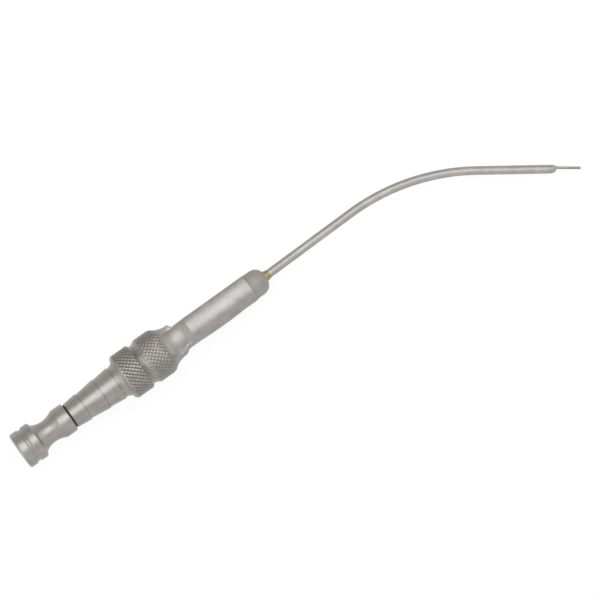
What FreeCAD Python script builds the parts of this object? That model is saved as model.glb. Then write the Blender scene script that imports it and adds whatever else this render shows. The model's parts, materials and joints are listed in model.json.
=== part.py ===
import FreeCAD, Part
import math
import os

os.makedirs("parts", exist_ok=True)

V = FreeCAD.Vector

# A curved suction tube of satin stainless steel with its cleaning stylet in place.
# It is drawn with the handle's axis along X, the tip towards +X and the front of the nose at x = 0.
# The tube bends towards -Y in the plane Z = 0. At the end everything is rolled about the handle's
# axis and lifted, so that the instrument lies on Z = 0 as it would on a table.

# Suction tube, a 9 French cannula
TUBE_D = 3.0
TUBE_WALL = 0.4
TUBE_STRAIGHT = 36.2
TUBE_BEND_R = 75.0
TUBE_BEND = math.radians(35.3)
TUBE_TIP_STRAIGHT = 26.8
TUBE_LEAN = math.radians(0.95)
TUBE_SEAT = 6.0
TUBE_MOUTH_D = 1.44
TUBE_MOUTH_WALL = 0.1
TUBE_MOUTH_RISE = 0.38
TUBE_DRAWN_IN = 1.9
BRAZE_GAP = 0.04

# Nose of the handle and the gold-coloured braze round the tube
NOSE_D = 9.4
NOSE_LENGTH = 6.1
NOSE_ROUND = 3.75
BRAZE_D = 3.8
BRAZE_LENGTH = 1.3

# Finger grip: flat thumb rest, crowned sides, round underside with a slight belly
GRIP_LENGTH = 29.6
GRIP_R = 5.0
THUMB_FLAT_HEIGHT = 4.75
THUMB_FLAT_WIDTH = 7.2
GRIP_SIDE_R = 9.5
GRIP_SIDE_EDGE = -0.43
GRIP_BELLY = 0.55
GRIP_BELLY_INSET = 1.0
VENT_D = 2.5
VENT_FROM_NOSE = 18.5

# Flare from the grip up to the front collar, and the scoops that run out in it
SHOULDER_LENGTH = 1.5
FLARE_TIP_D = 12.2
FLARE_LENGTH = 5.6
FLARE_R = 8.6
SCOOP_DEPTH = 0.7
SCOOP_FROM_FLARE_TIP = 1.5
SCOOP_FRONT_R = 14.0
SCOOP_REAR_R = 7.0

# Knurled collars with a plain groove between them
COLLAR_D = 17.0
FRONT_COLLAR_LENGTH = 8.05
REAR_COLLAR_LENGTH = 7.9
GROOVE_D = 14.7
GROOVE_WIDTH = 0.75
FRONT_COLLAR_NOSE_SLOPE = math.radians(15)
FRONT_COLLAR_GROOVE_SLOPE = math.radians(30)
REAR_COLLAR_GROOVE_SLOPE = math.radians(45)
REAR_COLLAR_EDGE = 0.8
KNURL_COUNT = 36
KNURL_PITCH = 1.74
KNURL_DEPTH = 0.3

# Hose connector: a neck and three barbs that get smaller to the rear
NECK_D = 11.75
NECK_LENGTH = 2.6
NECK_FLARE_LENGTH = 2.4
NECK_FLARE_R = 3.0
BARB_LENGTHS = [6.2, 7.3, 5.65]
BARB_FRONT_D = [12.25, 11.45, 10.35]
BARB_REAR_D = [11.0, 9.7, 9.25]
BARB_MOUTH_EDGE = 0.15

# Air passage through the handle
BORE_D = 5.0
BORE_MOUTH_EDGE = 0.3
THROAT_LENGTH = 1.2
THROAT_CONE = 1.6

# Stylet: a turned knob with a plug, a seal ring and a spring wire
SEAL_D = 8.9
SEAL_WIDTH = 0.85
SEAL_CLEARANCE = 0.05
PLUG_LENGTH = 9.0
PLUG_CLEARANCE = 0.1
PLUG_TIP_EDGE = 0.5
KNOB_COLLAR_D = 10.5
KNOB_COLLAR_LENGTH = 4.3
KNOB_WAIST_D = 8.2
KNOB_WAIST_FRONT_R = 8.7
KNOB_WAIST_REAR_R = 7.2
KNOB_SHOULDER_D = 10.4
KNOB_SHOULDER_LENGTH = 0.9
KNOB_BEAD_D = 13.25
KNOB_BEAD_LENGTH = 2.5
KNOB_GROOVE_DEPTH = 0.7
KNOB_GROOVE_WIDTH = 2.0
KNOB_FLANGE_LENGTH = 2.7
KNOB_EDGE_ROUND = 0.6
WIRE_D = 0.9
WIRE_BEYOND_TIP = 8.8
WIRE_IN_KNOB = 12.0
WIRE_CLEARANCE = 0.03
WIRE_BIAS = 0.55
WIRE_DROOP = math.radians(2.0)
WIRE_DROOP_R = 30.0
WIRE_ENTRY_R = 60.0
WIRE_TIP_ROUND = 0.3

# Stations along the handle, counted back from the nose
GRIP_FRONT = -NOSE_LENGTH
GRIP_REAR = GRIP_FRONT - GRIP_LENGTH
FLARE_TIP = GRIP_REAR - SHOULDER_LENGTH
FRONT_COLLAR_FRONT = FLARE_TIP - FLARE_LENGTH
FRONT_COLLAR_REAR = FRONT_COLLAR_FRONT - FRONT_COLLAR_LENGTH
REAR_COLLAR_FRONT = FRONT_COLLAR_REAR - GROOVE_WIDTH
REAR_COLLAR_REAR = REAR_COLLAR_FRONT - REAR_COLLAR_LENGTH
NECK_REAR = REAR_COLLAR_REAR - NECK_LENGTH
CONNECTOR_REAR = NECK_REAR - sum(BARB_LENGTHS)
KNOB_FRONT = CONNECTOR_REAR - SEAL_WIDTH
COLLAR_R = COLLAR_D / 2
FLARE_TOP_R = FLARE_TIP_D / 2 + FLARE_R - math.sqrt(FLARE_R ** 2 - FLARE_LENGTH ** 2)
BEND_CORNER = TUBE_BEND_R * math.tan(TUBE_BEND / 2)
THROAT_D = TUBE_D - 2 * TUBE_WALL
TIP_RINGS = 6
TOOL_REACH = 20.0


def line(p, q):
    return Part.makeLine(V(*p, 0), V(*q, 0))


def arc(p, q, radius, hollow_side):
    """Arc from p to q; hollow_side 1 puts its middle left of the way from p to q, -1 right."""
    p, q = V(*p, 0), V(*q, 0)
    chord = q - p
    left = V(-chord.y, chord.x, 0).normalize()
    rise = radius - math.sqrt(radius ** 2 - (chord.Length / 2) ** 2)
    return Part.Arc(p, (p + q) / 2 + left * rise * hollow_side, q).toShape()


def turned(edges, centre=V(0, 0, 0)):
    """Turns a closed outline of edges in x and radius about the X direction through centre."""
    face = Part.Face(Part.Wire(edges))
    solid = face.revolve(V(0, 0, 0), V(1, 0, 0), 360)
    return solid.translate(centre)


def closed(points):
    return [line(p, q) for p, q in zip(points, points[1:] + points[:1])]


def rod(start, end, diameter):
    return Part.makeCylinder(diameter / 2, (end - start).Length, start, end - start)


def bent_path(corners, radii):
    """Straight lines through the corners, with a round bend at each inner corner."""
    edges = []
    start = corners[0]
    for before, corner, after, radius in zip(corners, corners[1:], corners[2:], radii):
        come = (corner - before).normalize()
        go = (after - corner).normalize()
        half = come.getAngle(go) / 2
        first = corner - come * radius * math.tan(half)
        last = corner + go * radius * math.tan(half)
        middle = corner + (go - come).normalize() * radius * (1 / math.cos(half) - 1)
        edges += [Part.makeLine(start, first), Part.Arc(first, middle, last).toShape()]
        start = last
    edges.append(Part.makeLine(start, corners[-1]))
    return Part.Wire(edges)


def pipe(path, diameter):
    first = path.OrderedEdges[0]
    circle = Part.makeCircle(diameter / 2, first.valueAt(first.FirstParameter),
                             first.tangentAt(first.FirstParameter))
    return path.makePipe(Part.Face(Part.Wire(circle)))


def round_end(solid, point, radius):
    """Rounds the circular edge that lies nearest to a point at the end of a rod."""
    rims = [e for e in solid.Edges if e.Curve.TypeId == "Part::GeomCircle" and e.isClosed()]
    rim = min(rims, key=lambda e: (e.Curve.Center - point).Length)
    return solid.makeFillet(radius, [rim])


def turn(vector, angle):
    return V(vector.x * math.cos(angle) - vector.y * math.sin(angle),
             vector.x * math.sin(angle) + vector.y * math.cos(angle), 0)


def knurl_cutter(rear, front):
    """All that lies outside a diamond knurl: rows of four-sided points round the axis.

    Each row holds points and root crossings in turn, and the next row has them changed over.
    """
    row_step = KNURL_PITCH / 2
    rows = math.ceil((front - rear) / row_step)
    places = 2 * KNURL_COUNT

    def vertex(row, place):
        radius = COLLAR_R - KNURL_DEPTH * ((row + place) % 2)
        angle = 2 * math.pi * (place % places) / places
        return V(rear + row * row_step, radius * math.cos(angle), radius * math.sin(angle))

    faces = []
    for row in range(rows):
        for place in range(places):
            a, b = vertex(row, place), vertex(row, place + 1)
            c, d = vertex(row + 1, place), vertex(row + 1, place + 1)
            root_runs_ad = (row + place) % 2
            halves = [(a, b, d), (a, d, c)] if root_runs_ad else [(a, b, c), (b, d, c)]
            faces += [Part.Face(Part.makePolygon([p, q, r, p])) for p, q, r in halves]
    for row in (0, rows):
        rim = [vertex(row, place) for place in range(places)]
        faces.append(Part.Face(Part.makePolygon(rim + rim[:1])))
    shell = Part.Shell(faces)
    shell.sewShape()
    core = Part.Solid(shell)
    blank = Part.makeCylinder(COLLAR_R + 1, rows * row_step, V(rear, 0, 0), V(1, 0, 0))
    return blank.cut(core)


# Handle: nose, grip, flare, knurled collars and hose connector turned from one bar
over = COLLAR_R + KNURL_DEPTH
nose_r = NOSE_D / 2
groove_r = GROOVE_D / 2
neck_r = NECK_D / 2
neck_top_r = neck_r + NECK_FLARE_R - math.sqrt(NECK_FLARE_R ** 2 - NECK_FLARE_LENGTH ** 2)
collar_side = REAR_COLLAR_REAR + REAR_COLLAR_EDGE + KNURL_DEPTH
outline = [
    line((0, 0), (0, nose_r - NOSE_ROUND)),
    arc((0, nose_r - NOSE_ROUND), (-NOSE_ROUND, nose_r), NOSE_ROUND, -1),
    line((-NOSE_ROUND, nose_r), (GRIP_REAR, nose_r)),
    line((GRIP_REAR, nose_r), (FLARE_TIP, FLARE_TIP_D / 2)),
    arc((FLARE_TIP, FLARE_TIP_D / 2), (FRONT_COLLAR_FRONT, FLARE_TOP_R), FLARE_R, 1),
]
stations = [
    (FRONT_COLLAR_FRONT, FLARE_TOP_R),
    (FRONT_COLLAR_FRONT - (over - FLARE_TOP_R) / math.tan(FRONT_COLLAR_NOSE_SLOPE), over),
    (FRONT_COLLAR_REAR + (over - groove_r) / math.tan(FRONT_COLLAR_GROOVE_SLOPE), over),
    (FRONT_COLLAR_REAR, groove_r),
    (REAR_COLLAR_FRONT, groove_r),
    (REAR_COLLAR_FRONT - (over - groove_r) / math.tan(REAR_COLLAR_GROOVE_SLOPE), over),
    (collar_side, over),
    (REAR_COLLAR_REAR, COLLAR_R - REAR_COLLAR_EDGE),
    (REAR_COLLAR_REAR, neck_top_r),
]
outline += [line(p, q) for p, q in zip(stations, stations[1:])]
neck_front = REAR_COLLAR_REAR - NECK_FLARE_LENGTH
outline.append(arc(stations[-1], (neck_front, neck_r), NECK_FLARE_R, 1))
stations = [(neck_front, neck_r), (NECK_REAR, neck_r)]
for length, front_d, rear_d in zip(BARB_LENGTHS, BARB_FRONT_D, BARB_REAR_D):
    barb_front = stations[-1][0]
    stations += [(barb_front, front_d / 2), (barb_front - length, rear_d / 2)]
mouth_r = stations.pop()[1]
stations += [(CONNECTOR_REAR + BARB_MOUTH_EDGE, mouth_r),
             (CONNECTOR_REAR, mouth_r - BARB_MOUTH_EDGE), (CONNECTOR_REAR, 0), (0, 0)]
outline += [line(p, q) for p, q in zip(stations, stations[1:])]
handle = turned(outline)

for collar_rear, collar_front in ((REAR_COLLAR_REAR, REAR_COLLAR_FRONT),
                                  (FRONT_COLLAR_REAR, FRONT_COLLAR_FRONT)):
    handle = handle.cut(knurl_cutter(collar_rear, collar_front))

# Grip: thumb flat towards +Y, crowned sides that meet the round underside in a soft edge, and a
# slight belly along the underside
corner = V(0, THUMB_FLAT_HEIGHT, THUMB_FLAT_WIDTH / 2)
edge = V(0, GRIP_SIDE_EDGE, math.sqrt(GRIP_R ** 2 - GRIP_SIDE_EDGE ** 2))
outward = V(0, edge.z - corner.z, corner.y - edge.y).normalize()
half_chord = (corner - edge).Length / 2
side_fall = math.sqrt(GRIP_SIDE_R ** 2 - half_chord ** 2)
side_centre = (corner + edge) / 2 - outward * side_fall
side_middle = side_centre + outward * GRIP_SIDE_R


def mirrored(point):
    return V(point.x, point.y, -point.z)


section = Part.Wire([
    Part.makeLine(mirrored(corner), corner),
    Part.Arc(corner, side_middle, edge).toShape(),
    Part.Arc(edge, V(0, -GRIP_R, 0), mirrored(edge)).toShape(),
    Part.Arc(mirrored(edge), mirrored(side_middle), mirrored(corner)).toShape(),
])
grip = Part.Face(section).extrude(V(FLARE_TIP - GRIP_FRONT, 0, 0)).translate(V(GRIP_FRONT, 0, 0))
belly_line = Part.Arc(V(GRIP_REAR + GRIP_BELLY_INSET, 0, 0), V((GRIP_FRONT + GRIP_REAR) / 2, -GRIP_BELLY, 0),
                      V(GRIP_FRONT - GRIP_BELLY_INSET, 0, 0))
handle = handle.fuse(grip.fuse(pipe(Part.Wire(belly_line.toShape()), NOSE_D)))

# Scoops on both sides, turned about the same centres as the crowned sides
scoop_x = FLARE_TIP + SCOOP_FROM_FLARE_TIP
scoop_r = GRIP_SIDE_R - SCOOP_DEPTH
scoop_rear = (scoop_x - SCOOP_REAR_R, scoop_r + SCOOP_REAR_R)
scoop_run = SCOOP_FRONT_R / 3
scoop_front = (scoop_x + scoop_run,
               scoop_r + SCOOP_FRONT_R - math.sqrt(SCOOP_FRONT_R ** 2 - scoop_run ** 2))
for centre in (side_centre, mirrored(side_centre)):
    handle = handle.cut(turned([
        arc(scoop_rear, (scoop_x, scoop_r), SCOOP_REAR_R, -1),
        arc((scoop_x, scoop_r), scoop_front, SCOOP_FRONT_R, -1),
        line(scoop_front, (scoop_front[0], TOOL_REACH)),
        line((scoop_front[0], TOOL_REACH), (scoop_rear[0], TOOL_REACH)),
        line((scoop_rear[0], TOOL_REACH), scoop_rear),
    ], centre))
solid_handle = handle

# Route of the tube, and of the wire that lies against the outer side of the bend in it
ahead = V(math.cos(TUBE_LEAN), math.sin(TUBE_LEAN), 0)
ahead_at_tip = turn(ahead, -TUBE_BEND)
seat = V(-TUBE_SEAT, 0, 0)
bend_corner = seat + ahead * (TUBE_SEAT + TUBE_STRAIGHT + BEND_CORNER)
tube_tip = bend_corner + ahead_at_tip * (BEND_CORNER + TUBE_TIP_STRAIGHT)
bend_out = (ahead - ahead_at_tip).normalize()

# Air passage: bore, cone, throat, the seat of the tube and the thumb vent
cone_front = -TUBE_SEAT - THROAT_LENGTH
passage = turned(closed([
    (CONNECTOR_REAR - BORE_MOUTH_EDGE, 0),
    (CONNECTOR_REAR - BORE_MOUTH_EDGE, BORE_D / 2 + 2 * BORE_MOUTH_EDGE),
    (CONNECTOR_REAR + BORE_MOUTH_EDGE, BORE_D / 2),
    (cone_front - THROAT_CONE, BORE_D / 2),
    (cone_front, THROAT_D / 2),
    (-TUBE_SEAT / 2, THROAT_D / 2),
    (-TUBE_SEAT / 2, 0),
]))
handle = handle.cut(passage)
handle = handle.cut(rod(seat, seat + ahead * 2 * TUBE_SEAT, TUBE_D + 2 * BRAZE_GAP))
vent = V(-VENT_FROM_NOSE, 0, 0)
handle = handle.cut(rod(vent, vent + V(0, TOOL_REACH, 0), VENT_D))

# Tube, with its end drawn in to a blunt tip whose mouth lies towards the outer side of the bend
tip_out = V(-ahead_at_tip.y, ahead_at_tip.x, 0)


def drawn_in(start_d, end_d, start_back, end_back):
    """The round end of a rod along the tube that narrows from start_d to end_d towards the mouth."""
    rings = []
    for step in range(TIP_RINGS + 1):
        angle = math.pi / 2 * step / TIP_RINGS
        share = 1 - math.cos(angle)
        back = start_back + (end_back - start_back) * math.sin(angle)
        middle = tube_tip - ahead_at_tip * back + tip_out * TUBE_MOUTH_RISE * share
        radius = (start_d + (end_d - start_d) * share) / 2
        rings.append(Part.Wire(Part.makeCircle(radius, middle, ahead_at_tip)))
    return Part.makeLoft(rings, True)


tube_body = bent_path([seat, bend_corner, tube_tip - ahead_at_tip * TUBE_DRAWN_IN], [TUBE_BEND_R])
tube = pipe(tube_body, TUBE_D).fuse(
    drawn_in(TUBE_D, TUBE_MOUTH_D + 2 * TUBE_MOUTH_WALL, TUBE_DRAWN_IN, 0))
lumen_back = TUBE_DRAWN_IN + TUBE_WALL
lumen_body = bent_path([seat, bend_corner, tube_tip - ahead_at_tip * lumen_back], [TUBE_BEND_R])
lumen = pipe(lumen_body, THROAT_D).fuse(
    drawn_in(THROAT_D, TUBE_MOUTH_D, lumen_back, 0))
tube = tube.cut(lumen)

# Braze ring: a hollow fillet between the nose and the tube
braze_r = BRAZE_D / 2
tube_r = TUBE_D / 2
braze_rear = -NOSE_ROUND + math.sqrt(NOSE_ROUND ** 2 - (braze_r - nose_r + NOSE_ROUND) ** 2)
braze = turned([
    line((-NOSE_ROUND, 0), (-NOSE_ROUND, braze_r)),
    line((-NOSE_ROUND, braze_r), (braze_rear, braze_r)),
    arc((braze_rear, braze_r), (BRAZE_LENGTH, tube_r), 2 * BRAZE_LENGTH, -1),
    line((BRAZE_LENGTH, tube_r), (BRAZE_LENGTH, 0)),
    line((BRAZE_LENGTH, 0), (-NOSE_ROUND, 0)),
])
braze = braze.cut(solid_handle).cut(rod(seat, seat + ahead * 2 * TUBE_SEAT, TUBE_D))

# Seal ring between the connector's mouth and the knob
plug_r = BORE_D / 2 - PLUG_CLEARANCE
seal = turned(closed([
    (KNOB_FRONT, plug_r + SEAL_CLEARANCE), (KNOB_FRONT, SEAL_D / 2),
    (CONNECTOR_REAR, SEAL_D / 2), (CONNECTOR_REAR, plug_r + SEAL_CLEARANCE),
]))

# Stylet knob: plug, collar, hollow waist, bead, V groove and end flange
plug_tip = CONNECTOR_REAR + PLUG_LENGTH
collar_r = KNOB_COLLAR_D / 2
waist_r = KNOB_WAIST_D / 2
shoulder_r = KNOB_SHOULDER_D / 2
bead_r = KNOB_BEAD_D / 2


def waist_run(radius, rim_r):
    return math.sqrt(radius ** 2 - (radius - rim_r + waist_r) ** 2)


knob_collar_rear = KNOB_FRONT - KNOB_COLLAR_LENGTH
waist = knob_collar_rear - waist_run(KNOB_WAIST_FRONT_R, collar_r)
shoulder = waist - waist_run(KNOB_WAIST_REAR_R, shoulder_r)
bead_front = shoulder - KNOB_SHOULDER_LENGTH
bead_rear = bead_front - KNOB_BEAD_LENGTH
flange_front = bead_rear - KNOB_GROOVE_WIDTH
knob_rear = flange_front - KNOB_FLANGE_LENGTH
front_stations = [(knob_rear, 0), (plug_tip, 0), (plug_tip, plug_r - PLUG_TIP_EDGE),
                  (plug_tip - PLUG_TIP_EDGE, plug_r), (KNOB_FRONT, plug_r),
                  (KNOB_FRONT, collar_r), (knob_collar_rear, collar_r)]
rear_stations = [(shoulder, shoulder_r), (bead_front, bead_r), (bead_rear, bead_r),
                 ((bead_rear + flange_front) / 2, bead_r - KNOB_GROOVE_DEPTH),
                 (flange_front, bead_r), (knob_rear, bead_r), (knob_rear, 0)]
knob = turned(
    [line(p, q) for p, q in zip(front_stations, front_stations[1:])]
    + [arc((knob_collar_rear, collar_r), (waist, waist_r), KNOB_WAIST_FRONT_R, 1),
       arc((waist, waist_r), (shoulder, shoulder_r), KNOB_WAIST_REAR_R, 1)]
    + [line(p, q) for p, q in zip(rear_stations, rear_stations[1:])])
rims = [e for e in knob.Edges if e.isClosed() and e.Curve.TypeId == "Part::GeomCircle"]
knob = knob.makeFillet(KNOB_EDGE_ROUND, [
    e for e in rims if min(abs(e.Curve.Radius - bead_r), abs(e.Curve.Radius - collar_r)) < 1e-6])
knob = knob.cut(rod(V(plug_tip - WIRE_IN_KNOB, 0, 0), V(plug_tip, 0, 0),
                    WIRE_D + 2 * WIRE_CLEARANCE))

# Stylet wire: straight out of the plug, along the outer side of the tube, and out of its tip
wire_entry = seat + V(-ahead.y, ahead.x, 0) * WIRE_BIAS
wire_corner = bend_corner + bend_out * WIRE_BIAS / math.cos(TUBE_BEND / 2)
wire_mouth = tube_tip + V(-ahead_at_tip.y, ahead_at_tip.x, 0) * WIRE_BIAS
wire_tip = wire_mouth + turn(ahead_at_tip, -WIRE_DROOP) * WIRE_BEYOND_TIP
wire_path = bent_path(
    [V(plug_tip - WIRE_IN_KNOB, 0, 0), V(plug_tip, 0, 0), wire_entry, wire_corner, wire_mouth, wire_tip],
    [WIRE_ENTRY_R, WIRE_ENTRY_R, TUBE_BEND_R + WIRE_BIAS, WIRE_DROOP_R])
wire = round_end(pipe(wire_path, WIRE_D), wire_tip, WIRE_TIP_ROUND)

# At rest the instrument lies on both collars and on whichever of wire and tube touches first
roll = min(math.asin((COLLAR_R - WIRE_D / 2) / -wire_tip.y),
           math.asin((COLLAR_R - TUBE_D / 2) / -tube_tip.y))
parts = {
    "handle": handle,
    "tube": tube,
    "braze_ring": braze,
    "seal_ring": seal,
    "stylet_knob": knob,
    "stylet_wire": wire,
}
for shape in parts.values():
    shape.rotate(V(0, 0, 0), V(1, 0, 0), math.degrees(roll))
box = Part.makeCompound(list(parts.values())).optimalBoundingBox(False, False)
for name, shape in parts.items():
    shape.translate(V(-box.Center.x, -box.Center.y, COLLAR_R))
    shape.exportStep("parts/" + name + ".step")
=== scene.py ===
import json
import math

import bmesh
import bpy
from mathutils import Matrix, Vector


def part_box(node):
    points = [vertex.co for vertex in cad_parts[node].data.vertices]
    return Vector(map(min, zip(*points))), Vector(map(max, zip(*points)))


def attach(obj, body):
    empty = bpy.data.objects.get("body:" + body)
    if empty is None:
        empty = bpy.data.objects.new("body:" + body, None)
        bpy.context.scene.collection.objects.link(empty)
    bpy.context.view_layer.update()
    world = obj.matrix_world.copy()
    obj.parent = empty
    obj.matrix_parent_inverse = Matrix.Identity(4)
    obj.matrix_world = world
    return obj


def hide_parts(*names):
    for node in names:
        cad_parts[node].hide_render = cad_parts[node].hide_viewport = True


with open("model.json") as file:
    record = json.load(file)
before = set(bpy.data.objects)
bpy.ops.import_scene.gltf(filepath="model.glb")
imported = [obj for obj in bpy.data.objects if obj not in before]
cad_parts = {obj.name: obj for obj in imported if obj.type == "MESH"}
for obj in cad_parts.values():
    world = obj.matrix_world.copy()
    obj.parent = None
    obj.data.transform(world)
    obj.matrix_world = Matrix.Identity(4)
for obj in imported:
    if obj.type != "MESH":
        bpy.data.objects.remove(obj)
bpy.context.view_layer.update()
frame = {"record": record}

# Hose connector: three barbs and a neck, turned at the rear end of the handle's bar. Each barb is a cone with
# a sharp shoulder towards the collars, so that a hose slides on easily and holds. Sizes are in millimetres,
# with X along the handle's axis, counted back from the front of the nose, and Y towards the thumb rest.
handle_length = 81.25
handle_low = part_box("handle")[0]
seal_low, seal_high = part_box("seal_ring")
tip_mount = next(m for m in frame["record"]["mounts"] if m["name"] == "distal_tube")
tilt = math.atan2(-tip_mount["axis"][2], -tip_mount["axis"][1])
nose_front = Vector((handle_low.x + handle_length / 1000, (seal_low.y + seal_high.y) / 2,
                     (seal_low.z + seal_high.z) / 2))
to_table = Matrix.Translation(nose_front) @ Matrix.Rotation(tilt, 4, "X") @ Matrix.Scale(0.001, 4)


def linear(hex_colour):
    """Turns an sRGB hex colour to Blender's linear colour."""
    parts = [int(hex_colour[i:i + 2], 16) / 255 for i in (1, 3, 5)]
    return [c / 12.92 if c < 0.04045 else ((c + 0.055) / 1.055) ** 2.4 for c in parts] + [1]


def add(tree, kind, links=(), **settings):
    """Adds a node. Settings are its properties or sockets; links are pairs of socket and source or value."""
    node = tree.nodes.new(kind)
    for key, value in settings.items():
        if hasattr(node, key):
            setattr(node, key, value)
        else:
            node.inputs[key.replace("_", " ")].default_value = value
    for socket, source in links:
        if isinstance(source, bpy.types.Node):
            source = source.outputs[0]
        if isinstance(source, bpy.types.NodeSocket):
            tree.links.new(source, node.inputs[socket])
        else:
            node.inputs[socket].default_value = source
    return node


def satin_steel(name, dark, light, roughness, line_scale, depth, spread=0):
    """Brushed or drawn stainless steel: fine lines, counted to the metre along X, Y and Z, and faint clouds.

    Spread draws the shine out along the axis, as fine lathe lines do.
    """
    material = bpy.data.materials.new(name)
    material.use_nodes = True
    tree = material.node_tree
    shader = tree.nodes["Principled BSDF"]
    shader.inputs["Metallic"].default_value = 1
    place = add(tree, "ShaderNodeTexCoord").outputs["Object"]
    stretched = add(tree, "ShaderNodeMapping", [("Vector", place)], Scale=line_scale)
    lines = add(tree, "ShaderNodeTexNoise", [("Vector", stretched)], Scale=1, Detail=3)
    clouds = add(tree, "ShaderNodeTexNoise", [("Vector", place)], Scale=260, Detail=4)
    both = add(tree, "ShaderNodeMath", [(0, lines), (1, clouds)], operation="ADD")
    tone = add(tree, "ShaderNodeMapRange", [(0, both)], From_Min=0.8, From_Max=1.2)
    colour = add(tree, "ShaderNodeMix", [(0, tone), (6, linear(dark)), (7, linear(light))], data_type="RGBA")
    sheen = add(tree, "ShaderNodeMapRange", [(0, lines)], From_Min=0.3, From_Max=0.7,
                To_Min=roughness - 0.05, To_Max=roughness + 0.05)
    bump = add(tree, "ShaderNodeBump", [("Height", lines)], Strength=depth, Distance=0.00002)
    tree.links.new(colour.outputs[2], shader.inputs["Base Color"])
    tree.links.new(sheen.outputs[0], shader.inputs["Roughness"])
    tree.links.new(bump.outputs[0], shader.inputs["Normal"])
    if spread:
        shader.inputs["Anisotropic"].default_value = spread
        tree.links.new(add(tree, "ShaderNodeCombineXYZ", X=1).outputs[0], shader.inputs["Tangent"])
    return material


def rounded(corners):
    """Outline through corners of (x, y, radius). A rounded corner is held by a close point on either side."""
    most_of_side, hold, count = 0.35, 1.3, 6
    points = [Vector(corners[0][:2])]
    for before, corner, after in zip(corners, corners[1:], corners[2:]):
        here = Vector(corner[:2])
        back, on = Vector(before[:2]) - here, Vector(after[:2]) - here
        if corner[2] == 0:
            points.append(here)
            continue
        half = back.angle(on) / 2
        reach = min(corner[2] / math.tan(half), back.length * most_of_side, on.length * most_of_side)
        radius = reach * math.tan(half)
        back.normalize()
        on.normalize()
        centre = here + (back + on).normalized() * radius / math.sin(half)
        start, stop = here + back * reach - centre, here + on * reach - centre
        sweep = start.angle_signed(stop)
        points.append(here + back * reach * hold)
        points += [centre + Matrix.Rotation(-sweep * i / count, 2) @ start for i in range(count + 1)]
        points.append(here + on * reach * hold)
    points.append(Vector(corners[-1][:2]))
    return points


def skin(rings, loop):
    """Closed mesh from rings of points, each joined to the next. A ring of one point is a pole."""
    shape = bmesh.new()
    rings = [[shape.verts.new(point) for point in ring] for ring in rings]
    for one, two in zip(rings, rings[1:] + rings[:1] if loop else rings[1:]):
        around = max(len(one), len(two))
        for i in range(around):
            j = (i + 1) % around
            corners = [one[i % len(one)], one[j % len(one)], two[j % len(two)], two[i % len(two)]]
            shape.faces.new(list(dict.fromkeys(corners)))
    bmesh.ops.recalc_face_normals(shape, faces=shape.faces)
    mesh = bpy.data.meshes.new("shape")
    shape.to_mesh(mesh)
    shape.free()
    return mesh


def turned(outline, around=192):
    """Turns an outline of (x, radius) points about the axis. It starts and ends on the axis or is a loop."""
    angles = [2 * math.pi * i / around for i in range(around)]
    circle = [(math.cos(a), math.sin(a)) for a in angles]
    rings = [[(x, radius * c, radius * s) for c, s in (circle if radius > 0 else circle[:1])]
             for x, radius in outline]
    return skin(rings, outline[0][1] > 0)


def finished(name, mesh, material, node, sharp_from=40):
    """Puts a millimetre mesh in its place on the table and hands it over in place of its CAD node."""
    mesh.transform(to_table)
    if material:
        mesh.materials.append(material)
    mesh.shade_smooth()
    mesh.set_sharp_from_angle(angle=math.radians(sharp_from))
    piece = bpy.data.objects.new(name, mesh)
    bpy.context.collection.objects.link(piece)
    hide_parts(node)
    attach(piece, "root")


# Satin stainless steel (303 bar), turned and then brushed round the axis with fine abrasive. The lines lie
# across the axis, about four to the millimetre.
handle_steel = satin_steel("satin_turned_steel", "#93908C", "#A19D99", roughness=0.43,
                           line_scale=(4200, 160, 160), depth=0.25, spread=0.6)

bore_r, bore_run = 2.5, 3
collar_rear, neck_r, neck_length, neck_top = -59.68, 5.875, 2.6, 1.25
neck_flare, neck_flare_r = 2.4, 3.0
barbs = [(6.2, 5.5, 6.15), (5.78, 4.85, 7.5), (5.22, 4.625, 5.24)]
relief, relief_foot = 0.08, 0.02

corners = [(collar_rear, bore_r, 0), (collar_rear, neck_r + neck_top, 0)]
for run in (0.0, 0.08, 0.2, 0.4, 0.65, 0.95, 1.3, 1.7, 2.1, neck_flare):
    fall = math.sqrt(neck_flare_r ** 2 - (neck_flare - run) ** 2)
    corners.append((collar_rear - run, neck_r + neck_flare_r - fall, 0))
barb_front, before_r = collar_rear - neck_length, neck_r
for front_r, rear_r, length in barbs:
    corners += [(barb_front + relief, before_r, 0.03), (barb_front + relief_foot, before_r - relief, 0.02),
                (barb_front, front_r, 0.1)]
    barb_front, before_r = barb_front - length, rear_r
mouth = barb_front
corners += [(mouth, before_r, 0.15), (mouth, bore_r, 0.2), (mouth + bore_run, bore_r, 0)]
finished("hose_connector", turned(rounded(corners)), handle_steel, "handle")


# Knurled collars, from the same bar. Each is turned with sloping ends, and then two hardened wheels press
# crossed rows of grooves into it. The rear collar's wheels bit unevenly, so one row runs deeper there.
# A plain groove lies between the two collars.
starts, pitch, top_r, root_r = 33, 1.7, 8.498, 7.6
rear_fade_run, front_fade_run = 0.35, 0.45
inner_r, rings_to_pitch = 5.0, 16

knurl = bpy.data.node_groups.new("diamond_knurl", "GeometryNodeTree")
knurl.interface.new_socket("Geometry", in_out="INPUT", socket_type="NodeSocketGeometry")
knurl.interface.new_socket("Geometry", in_out="OUTPUT", socket_type="NodeSocketGeometry")
for size in ("Starts", "Pitch", "Right Depth", "Left Depth", "Flat Share", "Rear End", "Front End"):
    knurl.interface.new_socket(size, in_out="INPUT", socket_type="NodeSocketFloat")
knurl.interface.new_socket("Material", in_out="INPUT", socket_type="NodeSocketMaterial")


def sum_up(first, second, operation):
    return add(knurl, "ShaderNodeMath", [(0, first), (1, second)], operation=operation)


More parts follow.
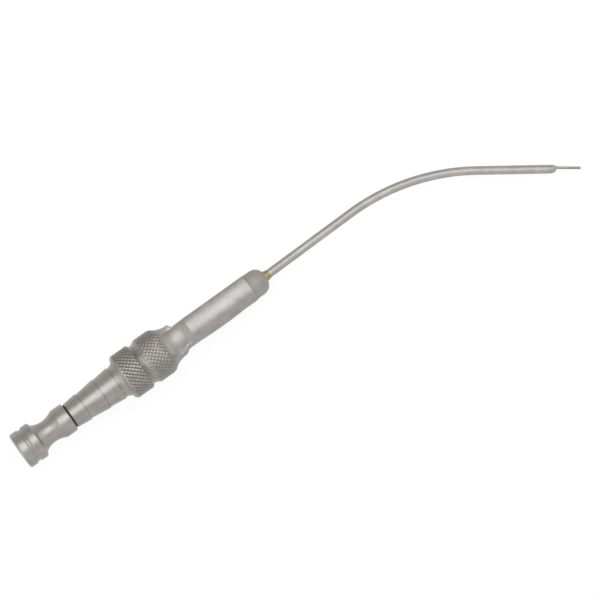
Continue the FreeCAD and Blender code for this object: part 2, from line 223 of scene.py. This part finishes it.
# Every point is counted in groove pitches round and along the collar, once for each row of grooves.
given = add(knurl, "NodeGroupInput").outputs
position = add(knurl, "GeometryNodeInputPosition")
where = add(knurl, "ShaderNodeSeparateXYZ", [(0, position)]).outputs
across = sum_up(sum_up(where[2], where[1], "ARCTAN2"), given["Starts"], "MULTIPLY")
along = sum_up(where[0], given["Pitch"], "DIVIDE")
slope_share = sum_up(1.0, given["Flat Share"], "SUBTRACT")
past_rear = sum_up(where[0], given["Rear End"], "SUBTRACT")
before_front = sum_up(given["Front End"], where[0], "SUBTRACT")
rear_fade = add(knurl, "ShaderNodeMapRange", [("Value", past_rear)], From_Min=0.0, From_Max=rear_fade_run)
front_fade = add(knurl, "ShaderNodeMapRange", [("Value", before_front)], From_Min=0.0,
                 From_Max=front_fade_run)
fade = sum_up(rear_fade, front_fade, "MULTIPLY")
cuts = []
for way, depth in (("ADD", "Right Depth"), ("SUBTRACT", "Left Depth")):
    lead = sum_up(sum_up(across, 2 * math.pi, "DIVIDE"), along, way)
    rise = sum_up(sum_up(lead, 0.5, "PINGPONG"), 2.0, "MULTIPLY")
    groove = add(knurl, "ShaderNodeMapRange", [("Value", rise), ("From Min", slope_share)], From_Max=0.0)
    cuts.append(sum_up(sum_up(groove, given[depth], "MULTIPLY"), fade, "MULTIPLY"))

# The points outside inner_r move in by the deeper of the two cuts, and the depth is kept for the painted
# shade in the grooves.
upright = add(knurl, "ShaderNodeCombineXYZ", [(1, where[1]), (2, where[2])])
radius = add(knurl, "ShaderNodeVectorMath", [(0, upright)], operation="LENGTH").outputs["Value"]
share = sum_up(sum_up(cuts[0], cuts[1], "MAXIMUM"), radius, "DIVIDE")
inward = add(knurl, "ShaderNodeVectorMath", [(0, upright), ("Scale", sum_up(share, -1.0, "MULTIPLY"))],
             operation="SCALE")
outside = sum_up(radius, inner_r, "GREATER_THAN")
pressed = add(knurl, "GeometryNodeSetPosition",
              [("Geometry", given["Geometry"]), ("Selection", outside), ("Offset", inward)])
# The summed depth of both cuts sets how much painted shade darkens the knurl's grooves.
both_cuts = sum_up(cuts[0], cuts[1], "ADD")
groove_shade = add(knurl, "ShaderNodeMapRange", [("Value", both_cuts)], From_Min=0.03, From_Max=0.5)
marked = add(knurl, "GeometryNodeStoreNamedAttribute",
             [("Geometry", pressed), ("Value", sum_up(groove_shade, outside, "MULTIPLY"))], Name="pressed")
whole = add(knurl, "GeometryNodeRealizeInstances", [(0, marked)])
painted = add(knurl, "GeometryNodeSetMaterial", [(0, whole), ("Material", given["Material"])])
add(knurl, "NodeGroupOutput", [(0, painted)])

# The crests of the knurl are worn smooth and bright. Painted shade: the colour darkens towards near black
# with the depth of the grooves.
knurl_steel = satin_steel("knurled_steel", "#8B8783", "#999591", roughness=0.31,
                          line_scale=(900, 900, 900), depth=0.1)
tree = knurl_steel.node_tree
shader = tree.nodes["Principled BSDF"]
clean = shader.inputs["Base Color"].links[0].from_socket
# Painted shade in the grooves, read from the depth that the knurl's tree kept.
depth = add(tree, "ShaderNodeAttribute", attribute_name="pressed").outputs["Fac"]
colour = add(tree, "ShaderNodeMix", [(0, depth), (6, clean), (7, linear("#34312E"))], data_type="RGBA")
tree.links.new(colour.outputs[2], shader.inputs["Base Color"])


def knurled(corners, rear_end, front_end, right_depth, left_depth, flat_share):
    """A collar blank with close rings over its knurled part, pressed by the knurl's tree."""
    outline = []
    for one, two in zip(corners, corners[1:]):
        middle = (one + two) / 2
        close = rear_end < middle.x < front_end and middle.y > inner_r
        count = max(1, math.ceil(abs(two.x - one.x) / (pitch / rings_to_pitch))) if close else 1
        outline += [one.lerp(two, i / count) for i in range(count)]
    outline.append(corners[-1])
    blank = bpy.data.objects.new("collar_blank", turned(outline, starts * rings_to_pitch))
    bpy.context.collection.objects.link(blank)
    press = blank.modifiers.new("knurl", "NODES")
    press.node_group = knurl
    values = {"Starts": float(starts), "Pitch": pitch, "Right Depth": right_depth, "Left Depth": left_depth,
              "Flat Share": flat_share, "Rear End": rear_end, "Front End": front_end, "Material": knurl_steel}
    for socket in knurl.interface.items_tree:
        if socket.name in values:
            press[socket.identifier] = values[socket.name]
    bpy.context.view_layer.update()
    mesh = bpy.data.meshes.new_from_object(blank.evaluated_get(bpy.context.evaluated_depsgraph_get()))
    bpy.data.objects.remove(blank)
    return mesh


# The front collar takes in the start of the flare, which is turned hollow with a round tool.
groove_front, groove_rear, flare_top, knurl_front = -50.85, -51.7, -42.8, -41.6
flare_middle, flare_r, flare_middle_r, flare_step = -37.2, 8.6, 14.7, 0.2
collar_join, rear_slope = groove_rear + 0.45, 0.8
front_slope, flare_slope = math.radians(30), math.radians(15)


def flare_radius(x):
    return flare_middle_r - math.sqrt(flare_r ** 2 - (x - flare_middle) ** 2)


rear_corners = rounded([
    (collar_rear, bore_r, 0), (collar_rear, top_r - rear_slope, 0.1), (collar_rear + rear_slope, top_r, 0.15),
    (groove_rear - (top_r - root_r), top_r, 0.1), (groove_rear, root_r, 0.15), (collar_join, root_r, 0),
    (collar_join, bore_r, 0)])
rear_mesh = knurled(rear_corners, rear_end=collar_rear + 0.75, front_end=groove_rear - 0.35,
                    right_depth=0.16, left_depth=0.28, flat_share=0.45)
finished("rear_collar", rear_mesh, None, "handle", sharp_from=180)
front_corners = rounded([
    (collar_join, bore_r, 0), (collar_join, root_r, 0), (groove_front, root_r, 0.15),
    (groove_front + (top_r - root_r) / math.tan(front_slope), top_r, 0.1),
    (flare_top - (top_r - flare_radius(flare_top)) / math.tan(flare_slope), top_r, 0.2),
    (flare_top, flare_radius(flare_top), 0)])
for i in range(1, 7):
    x = flare_top + flare_step * i
    front_corners.append(Vector((x, flare_radius(x))))
front_corners.append(Vector((knurl_front, bore_r)))
front_mesh = knurled(front_corners, rear_end=groove_front + 1.4, front_end=knurl_front,
                     right_depth=0.19, left_depth=0.19, flat_share=0.5)
finished("front_collar", front_mesh, None, "handle", sharp_from=180)


# Grip with the flare behind it and the nose in front, still the same bar. The bar is milled to a flat thumb
# rest, two crowned sides and a round underside; scoops run the sides out in the flare, and an air hole is
# drilled in the thumb rest down to the bore.
def arc_points(start, stop, radius, side, count):
    """Points on an arc from start to stop that bows to the left of the way (side 1) or to its right (-1)."""
    start, stop = Vector(start), Vector(stop)
    chord = stop - start
    left = Vector((-chord.y, chord.x)).normalized() * side
    centre = (start + stop) / 2 - left * math.sqrt(radius ** 2 - (chord.length / 2) ** 2)
    sweep = (start - centre).angle_signed(stop - centre)
    return [centre + Matrix.Rotation(-sweep * i / count, 2) @ (start - centre) for i in range(count + 1)]


# The underside bows out by the belly between the grip's ends, and meets the flare with a sloping tail.
grip_front, grip_rear, flare_tip = -6.5, -35.95, -36.85
nose_round, nose_r, nose_end = 3.75, 4.7, 0.15
belly, belly_margin, tail_fall = 0.55, 1, 0.62

# Half of the milled section: from the middle of the flat, over the crowned side, to the underside's middle.
flat_height, flat_half, flat_edge = 4.75, 3.6, 0.5
under_r, under_fullness, edge_drop = 5, 0.84, 0.43
side_round = 9.5
flat_corner = Vector((flat_height, flat_half))
side_edge = Vector((-edge_drop, math.sqrt(under_r ** 2 - edge_drop ** 2)))
side_arc = arc_points(flat_corner, side_edge, side_round, side=-1, count=28)
underside = [(-under_r * math.sin(math.radians(a)) ** under_fullness,
              side_edge.y * math.cos(math.radians(a)) ** under_fullness, 0) for a in range(6, 90, 3)]
half = rounded([(flat_height, flat_half * i / 12, 0) for i in range(11)] + [(*flat_corner, flat_edge)]
               + [(*p, 0) for p in side_arc[4:]] + underside + [(-under_r, 0, 0)])
section = half + [Vector((p.x, -p.y)) for p in reversed(half[1:-1])]

# Each scoop is cut by a round cutter that dips into the flare and runs out at a slope towards the nose. Its
# cut follows the side's crown, and stops short of the flat and of the underside.
outward = Vector((side_edge.y - flat_corner.y, flat_corner.x - side_edge.x)).normalized()
side_fall = math.sqrt(side_round ** 2 - ((flat_corner - side_edge).length / 2) ** 2)
side_centre = (flat_corner + side_edge) / 2 - outward * side_fall
scoop_x, scoop_r, scoop_round = -36.75, side_round - 1.55, 8.0
scoop_low, scoop_high, scoop_wall = -3.4, 4.4, 4
scoop_run, scoop_rise, scoop_slope = 3.26, 0.694, math.radians(24)


def turned_radius(x):
    if x > nose_end - nose_round:
        return nose_r - nose_round + math.sqrt(nose_round ** 2 - (x - nose_end + nose_round) ** 2)
    if x > grip_rear:
        return nose_r
    if x > flare_tip:
        return nose_r + (grip_rear - x) / (grip_rear - flare_tip) * (flare_radius(flare_tip) - nose_r)
    return flare_radius(x)


def grip_ring(x, milled, less=0.0):
    """The bar's section at x: the larger of the turned and the milled shape, less the two scoops."""
    ring = []
    run = abs(x - scoop_x)
    reach = scoop_r + scoop_round - math.sqrt(scoop_round ** 2 - min(run, scoop_round) ** 2)
    if x > scoop_x + scoop_run:
        reach = scoop_r + scoop_rise + (run - scoop_run) * math.tan(scoop_slope)
    off_middle = (x - (grip_front + grip_rear) / 2) / ((grip_front - grip_rear) / 2 - belly_margin)
    bow = belly * max(0.0, 1 - off_middle ** 2)
    for point in section:
        way = point.normalized()
        radius = max(turned_radius(x), point.length - less) if milled else turned_radius(x)
        if milled and bow > 0:
            radius = max(radius, math.sqrt(nose_r ** 2 - (bow * way.y) ** 2) - bow * way.x)
        if milled and way.x < 0:
            radius = max(radius, flare_radius(flare_tip) - tail_fall * (x - flare_tip))
        for centre in (side_centre, Vector((side_centre.x, -side_centre.y))):
            ahead = centre.dot(way)
            hollow = ahead + math.sqrt(reach ** 2 - centre.length_squared + ahead ** 2)
            hollow += scoop_wall * max(0.0, scoop_low - hollow * way.x, hollow * way.x - scoop_high)
            if x < scoop_x + scoop_round:
                radius = min(radius, hollow)
        ring.append((x, way.x * radius, way.y * radius))
    return ring


def inner_ring(x, radius, shift=0.0):
    return [(x, shift + point.normalized().x * radius, point.normalized().y * radius) for point in section]


def steps(start, stop, count):
    return [start + (stop - start) * i / count for i in range(count)]


scoops_end, front_edge = -27.7, grip_front - 0.2
rings = [grip_ring(x, x > flare_tip)
         for x in steps(knurl_front, flare_tip, 40) + steps(flare_tip, grip_rear, 20)
         + steps(grip_rear, scoops_end, 36) + steps(scoops_end, front_edge, 20)]
rings += [grip_ring(grip_front + ahead, milled, less)
          for ahead, milled, less in ((-0.2, True, 0), (-0.1, True, 0), (-0.03, True, 0.03), (0, True, 0.1),
                                      (0.001, False, 0), (0.1, False, 0))]
rings += [grip_ring(x, False) for x in steps(nose_end - nose_round - 0.5, nose_end - nose_round, 2)]
rings += [grip_ring(nose_end - nose_round + nose_round * math.sin(math.radians(a)), False)
          for a in range(0, 77, 2)]

# The socket for the tube leans by as much as the tube does. Behind it, a narrow throat opens to the bore.
lean = math.radians(0.95)
seat_x, socket_r, throat_r, throat_rear, bore_front = -6, 1.54, 1.1, -7.2, -8.8
rings += [inner_ring(nose_end - 0.06, socket_r, -seat_x * math.tan(lean)), inner_ring(seat_x, socket_r),
          inner_ring(seat_x, throat_r), inner_ring(throat_rear, throat_r), inner_ring(bore_front, bore_r),
          inner_ring(knurl_front, bore_r)]

vent_x, vent_r, drill_low, drill_high = -18.5, 1.25, 1.5, 9
drill_mesh = turned([(drill_low, 0), (drill_low, vent_r), (drill_high, vent_r), (drill_high, 0)], around=64)
drill_mesh.transform(Matrix.Translation((vent_x, 0, 0)) @ Matrix.Rotation(math.radians(90), 4, "Z"))
grip_blank = bpy.data.objects.new("grip_blank", skin(rings, True))
drill = bpy.data.objects.new("vent_drill", drill_mesh)
for blank in (grip_blank, drill):
    bpy.context.collection.objects.link(blank)
vent = grip_blank.modifiers.new("vent", "BOOLEAN")
vent.object, vent.operation, vent.solver = drill, "DIFFERENCE", "EXACT"
bpy.context.view_layer.update()
grip_mesh = bpy.data.meshes.new_from_object(grip_blank.evaluated_get(bpy.context.evaluated_depsgraph_get()))
bpy.data.objects.remove(grip_blank)
bpy.data.objects.remove(drill)

# The grip is brushed lengthwise. Its nose is blasted with glass beads, which leaves it paler and dull.
grip_steel = satin_steel("satin_milled_steel", "#928E8A", "#A09C98", roughness=0.45,
                         line_scale=(700, 2600, 2600), depth=0.2)
blasted_steel = satin_steel("blasted_nose_steel", "#A19D97", "#ADA9A3", roughness=0.8,
                            line_scale=(3000, 3000, 3000), depth=0.5)
blasted_from = grip_front - 0.05
grip_mesh.materials.append(grip_steel)
grip_mesh.materials.append(blasted_steel)
for face in grip_mesh.polygons:
    face.material_index = int(face.center.x > blasted_from)
finished("grip", grip_mesh, None, "handle", sharp_from=30)


# Suction tube: drawn stainless tube of nine French (3 mm), bent once round a former and pushed into the nose.
# Its end is drawn in round the wire, so that it can't cut tissue, and the mouth lies off the tube's middle,
# towards the outer side of the bend.
def bent_path(corners, radii):
    """Points and directions along straight runs with a round bend at each inner corner."""
    degrees_to_step = 0.6
    path = [(corners[0], (corners[1] - corners[0]).normalized())]
    for before, corner, after, radius in zip(corners, corners[1:], corners[2:], radii):
        come, go = (corner - before).normalized(), (after - corner).normalized()
        angle = come.angle(go)
        middle = corner + (go - come).normalized() * radius / math.cos(angle / 2)
        start = corner - come * radius * math.tan(angle / 2) - middle
        axis = come.cross(go).normalized()
        count = max(4, math.ceil(math.degrees(angle) / degrees_to_step))
        for i in range(count + 1):
            bend = Matrix.Rotation(angle * i / count, 3, axis)
            path.append((middle + bend @ start, bend @ come))
    path.append((corners[-1], (corners[-1] - corners[-2]).normalized()))
    return path


def round_ring(place, way, radius, around):
    side = Vector((-way.y, way.x, 0))
    return [place + side * radius * math.cos(2 * math.pi * i / around)
            + Vector((0, 0, radius * math.sin(2 * math.pi * i / around))) for i in range(around)]


def turn(vector, angle):
    return Matrix.Rotation(angle, 3, "Z") @ vector


tube_r, lumen_r, bend_r, bend, tube_around = 1.5, 1.1, 75.0, math.radians(35.3), 96
straight_in, straight_out = 36.2, 26.8
mouth_r, mouth_rise, drawn_in, snout = 0.56, 0.4, 2.25, 0.45
mouth_wall, lip, inner_drawn_in, closing_power = 0.1, 0.05, drawn_in + 0.3, 0.85

bend_corner = bend_r * math.tan(bend / 2)
way_in = Vector((math.cos(lean), math.sin(lean), 0))
way_out = turn(way_in, -bend)
upward = Vector((-way_out.y, way_out.x, 0))
seat = Vector((seat_x, 0, 0))
tube_corner = seat + way_in * (-seat_x + straight_in + bend_corner)
tube_tip = tube_corner + way_out * (bend_corner + straight_out)
mouth_tip = tube_tip + way_out * snout
path = bent_path([seat, tube_corner, mouth_tip - way_out * (drawn_in + 0.1)], [bend_r])
rings = [round_ring(place, way, tube_r, tube_around) for place, way in path]
closing = [(math.sin(math.radians(a)), (1 - math.cos(math.radians(a))) ** closing_power)
           for a in range(0, 91, 6)]
for along, share in closing:
    place = mouth_tip - way_out * drawn_in * (1 - along) + upward * mouth_rise * share
    rings.append(round_ring(place, way_out, tube_r + (mouth_r + mouth_wall - tube_r) * share, tube_around))
for along, share in reversed(closing):
    place = mouth_tip - way_out * (lip + inner_drawn_in * (1 - along)) + upward * mouth_rise * share
    rings.append(round_ring(place, way_out, lumen_r + (mouth_r - lumen_r) * share, tube_around))
rings += [round_ring(place, way, lumen_r, tube_around) for place, way in reversed(path)]
# Cold-drawn tube, polished lightly: its faint lines run lengthwise.
tube_steel = satin_steel("satin_drawn_steel", "#9C9894", "#AAA6A2", roughness=0.5,
                         line_scale=(900, 1500, 1500), depth=0.1)
finished("suction_tube", skin(rings, True), tube_steel, "tube")


# Braze: a small ring of silver-brass brazing metal, melted round the tube where it enters the nose. It
# filled the corner by itself, so its outer edge wanders a little.
braze_outline = [(-0.5, tube_r), (-0.5, 1.7), (-0.2, 1.86), (0.15, 1.88), (0.4, 1.79), (0.65, 1.71),
                 (0.9, 1.64), (1.2, 1.58), (1.5, 1.53), (1.8, tube_r)]
fillet, most_wander = 0.38, 0.04
rings = []
for x, radius in braze_outline:
    wander = most_wander * (radius - tube_r) / fillet
    ring = []
    for a in (2 * math.pi * i / tube_around for i in range(tube_around)):
        edge = radius + wander * math.sin(3 * a + 1) + wander * math.sin(7 * a)
        ring.append((x, math.tan(lean) * (x - seat_x) + math.cos(a) * edge, math.sin(a) * edge))
    rings.append(ring)

# Brazing brass, tarnished and slightly flecked.
brass = bpy.data.materials.new("brazing_brass")
brass.use_nodes = True
shader = brass.node_tree.nodes["Principled BSDF"]
shader.inputs["Metallic"].default_value = 1
shader.inputs["Roughness"].default_value = 0.42
place = add(brass.node_tree, "ShaderNodeTexCoord").outputs["Object"]
flecks = add(brass.node_tree, "ShaderNodeTexNoise", [("Vector", place)], Scale=1800, Detail=3)
colour = add(brass.node_tree, "ShaderNodeMix", [(0, flecks), (6, linear("#8A7F4E")), (7, linear("#A2966A"))],
             data_type="RGBA")
brass.node_tree.links.new(colour.outputs[2], shader.inputs["Base Color"])
finished("braze_ring", skin(rings, True), brass, "braze_ring", sharp_from=60)


# Seal ring: black silicone rubber, moulded, slipped over the stylet's plug and pressed between the knob and
# the connector's mouth.
plug_r, seal_width, seal_r, seal_edge = 2.4, 0.7, 4.45, 0.15
seal_bore_r = plug_r + 0.05
knob_front = mouth - seal_width
seal_corners = [(knob_front, seal_bore_r, 0), (knob_front, seal_r, seal_edge), (mouth, seal_r, seal_edge),
                (mouth, seal_bore_r, 0)]
# Plain black rubber with a soft shine.
rubber = bpy.data.materials.new("black_rubber")
rubber.use_nodes = True
shader = rubber.node_tree.nodes["Principled BSDF"]
shader.inputs["Base Color"].default_value = linear("#161616")
shader.inputs["Roughness"].default_value = 0.5
finished("seal_ring", turned(rounded(seal_corners)), rubber, "seal_ring")


# Stylet knob: turned from stainless bar and brushed like the handle, with a plug for the connector's mouth,
# a collar, a hollow waist for the fingers, a bead, a V groove and an end flange.
collar_r, waist_r, shoulder_r, bead_r = 5.32, 4.16, 5.25, 6.69
plug_length, collar_length, bead_rise, bead_length, v_length, flange_length = 9, 4.3, 0.8, 2.35, 2.0, 2.85
front_hollow_r, rear_hollow_r, v_depth = 8.7, 7.2, 0.62

plug_tip = mouth + plug_length
knob_collar_rear = knob_front - collar_length
waist = knob_collar_rear - math.sqrt(front_hollow_r ** 2 - (front_hollow_r - collar_r + waist_r) ** 2)
shoulder = waist - math.sqrt(rear_hollow_r ** 2 - (rear_hollow_r - shoulder_r + waist_r) ** 2)
bead_front = shoulder - bead_rise
bead_rear = bead_front - bead_length
flange_front = bead_rear - v_length
knob_rear = flange_front - flange_length
front_hollow = arc_points((knob_collar_rear, collar_r), (waist, waist_r), front_hollow_r, side=1, count=20)
rear_hollow = arc_points((waist, waist_r), (shoulder, shoulder_r), rear_hollow_r, side=1, count=20)
corners = [(plug_tip, 0, 0), (plug_tip, plug_r, 0.5), (knob_front, plug_r, 0.05),
           (knob_front, collar_r, 0.35), (knob_collar_rear, collar_r, 0.5)]
corners += [(*p, 0) for p in front_hollow[2:] + rear_hollow[1:-5]]
corners += [(shoulder, shoulder_r, 0.9), (bead_front, bead_r, 0.45), (bead_rear, bead_r, 0.6),
            ((bead_rear + flange_front) / 2, bead_r - v_depth, 0.6), (flange_front, bead_r, 0.6),
            (knob_rear, bead_r, 0.8), (knob_rear, 0, 0)]
finished("stylet_knob", turned(rounded(corners)), handle_steel, "stylet_knob")


# Stylet wire: hard-drawn stainless spring wire, fixed in the knob and run through the whole tube. It presses
# against the outer side of the bend, stands out of the tip and droops a little there.
wire_r, in_knob, bias, mouth_bias, beyond, droop = 0.447, 3, 0.55, 0.48, 8.85, math.radians(1.5)
entry_r, tip_bend_r, tip_round, tip_run, wire_around = 60, 30, 0.3, 0.4, 32

bend_out = (way_in - way_out).normalized()
last_way = turn(way_out, -droop)
wire_mouth = tube_tip + upward * mouth_bias
wire_tip = wire_mouth + last_way * beyond
path = bent_path([Vector((plug_tip - in_knob, 0, 0)), Vector((plug_tip, 0, 0)),
                  seat + Vector((-way_in.y, way_in.x, 0)) * bias,
                  tube_corner + bend_out * bias / math.cos(bend / 2),
                  wire_mouth, wire_tip - last_way * tip_run],
                 [entry_r, entry_r, bend_r + bias, tip_bend_r])
rings = [[path[0][0]]] + [round_ring(place, way, wire_r, wire_around) for place, way in path]
for a in (math.radians(angle) for angle in range(0, 91, 15)):
    place = wire_tip - last_way * tip_round * (1 - math.sin(a))
    rings.append(round_ring(place, last_way, wire_r - tip_round * (1 - math.cos(a)), wire_around))
rings.append([wire_tip])
# Spring wire, drawn bright through a die: smoother than the tube, with fine lengthwise lines.
wire_steel = satin_steel("spring_wire_steel", "#7E7B77", "#94918D", roughness=0.28,
                         line_scale=(900, 2500, 2500), depth=0.2)
finished("stylet_wire", skin(rings, False), wire_steel, "stylet_wire")


# Floor: a plain white table. To the camera and in reflections it is as white as the background, and it
# keeps the instrument's soft shadow.
def seen_straight(tree):
    """The light path node, and a value of 1 for rays from the camera, of reflections and through glass."""
    rays = add(tree, "ShaderNodeLightPath")
    seen = rays.outputs["Is Camera Ray"]
    for other in ("Is Glossy Ray", "Is Transmission Ray"):
        seen = add(tree, "ShaderNodeMath", [(0, seen), (1, rays.outputs[other])], operation="MAXIMUM")
    return rays, seen


floor_half, own_glow = 3, 0.92
floor_mesh = bpy.data.meshes.new("floor")
floor_mesh.from_pydata([(x * floor_half, y * floor_half, 0) for x, y in ((-1, -1), (1, -1), (1, 1), (-1, 1))],
                       [], [(0, 1, 2, 3)])
floor = bpy.data.objects.new("floor", floor_mesh)
bpy.context.collection.objects.link(floor)
# Matt white board that glows faintly where it is seen, so that it ends nowhere.
white = bpy.data.materials.new("white_table")
white.use_nodes = True
tree = white.node_tree
tree.nodes.clear()
share = add(tree, "ShaderNodeMath", [(0, seen_straight(tree)[1]), (1, own_glow)], operation="MULTIPLY")
matt = add(tree, "ShaderNodeBsdfDiffuse", Color=linear("#F4F4F4"))
glow = add(tree, "ShaderNodeEmission", Color=(1, 1, 1, 1), Strength=1)
both = add(tree, "ShaderNodeMixShader", [(0, share), (1, matt), (2, glow)])
add(tree, "ShaderNodeOutputMaterial", [("Surface", both)])
floor_mesh.materials.append(white)

# Light: an evenly white room, which reflections show a little darker and warmer towards the upper side, and
# four soft lamps: a softbox above, leant to the upper side of the handle, a lamp beyond each end and a weak
# one low at the lower side.
world = bpy.data.worlds.new("white_room")
bpy.context.scene.world = world
world.use_nodes = True
tree = world.node_tree
tree.nodes.clear()
rays, seen = seen_straight(tree)
level = add(tree, "ShaderNodeMapRange", [(0, seen)], To_Min=0.85, To_Max=1.0)
way = add(tree, "ShaderNodeSeparateXYZ", [(0, add(tree, "ShaderNodeTexCoord").outputs["Generated"])])
side = add(tree, "ShaderNodeMapRange", [(0, way.outputs[1])], From_Min=-0.6, From_Max=0.9)
plain_white = (1, 1, 1, 1)
mirrored = add(tree, "ShaderNodeMix", [(0, side), (6, plain_white), (7, linear("#E4DED6"))], data_type="RGBA")
walls = add(tree, "ShaderNodeMix",
            [(0, rays.outputs["Is Glossy Ray"]), (6, plain_white), (7, mirrored.outputs[2])],
            data_type="RGBA")
room = add(tree, "ShaderNodeBackground", [("Strength", level), ("Color", walls.outputs[2])])
add(tree, "ShaderNodeOutputWorld", [("Surface", room)])

along_axis = Vector((1, 0, 0))
across_axis = Vector((0, math.cos(tilt), math.sin(tilt)))
to_camera = Vector((0, -math.sin(tilt), math.cos(tilt)))
leant, end_rise, low_rise, lamp_away = math.radians(14), 0.3, 0.25, 1.1
lit_middle = nose_front - along_axis * 0.03


def soft_lamp(name, size, energy, colour, way):
    """A rectangular soft lamp, turned towards the instrument's middle."""
    lamp_data = bpy.data.lights.new(name, "AREA")
    lamp_data.shape, lamp_data.size, lamp_data.size_y, lamp_data.energy = "RECTANGLE", *size, energy
    lamp_data.color = linear(colour)[:3]
    lamp = bpy.data.objects.new(name, lamp_data)
    bpy.context.collection.objects.link(lamp)
    side = along_axis if abs(way.x) < 0.5 else across_axis
    turn_lamp = Matrix((side, way.cross(side), way)).transposed().to_4x4()
    lamp.matrix_world = Matrix.Translation(lit_middle + way * lamp_away) @ turn_lamp


soft_lamp("softbox", size=(1.1, 0.9), energy=6.7, colour="#F1F6FF",
          way=math.cos(leant) * to_camera + math.sin(leant) * across_axis)
soft_lamp("left_lamp", size=(0.9, 0.9), energy=2.2, colour="#FFFFFF",
          way=(to_camera * end_rise - along_axis).normalized())
soft_lamp("right_lamp", size=(0.9, 0.9), energy=1.7, colour="#FFFFFF",
          way=(to_camera * end_rise + along_axis).normalized())
soft_lamp("low_lamp", size=(1.2, 0.6), energy=0.6, colour="#FFFFFF",
          way=(to_camera * low_rise - across_axis).normalized())

# Camera: nearly square on to the bend's plane, a little from the knob's side, with the handle rising to the
# right across the picture.
slant, per_pixel, away, lean_back = math.radians(35.55), 0.0003395, 2.5, math.radians(4.5)
half_picture, right_of_nose, below_nose = 300, 34.72, 23.27
camera_way = to_camera * math.cos(lean_back) - along_axis * math.sin(lean_back)
lengthwise = along_axis * math.cos(lean_back) + to_camera * math.sin(lean_back)
right = lengthwise * math.cos(slant) - across_axis * math.sin(slant)
up = lengthwise * math.sin(slant) + across_axis * math.cos(slant)
target = nose_front + (right * right_of_nose - up * below_nose) * per_pixel
camera_data = bpy.data.cameras.new("camera")
camera_data.angle = 2 * math.atan(half_picture * per_pixel / away)
camera = bpy.data.objects.new("camera", camera_data)
bpy.context.collection.objects.link(camera)
turn_camera = Matrix((right, up, camera_way)).transposed().to_4x4()
camera.matrix_world = Matrix.Translation(target + camera_way * away) @ turn_camera
bpy.context.scene.camera = camera
bpy.context.scene.view_settings.view_transform = "Standard"
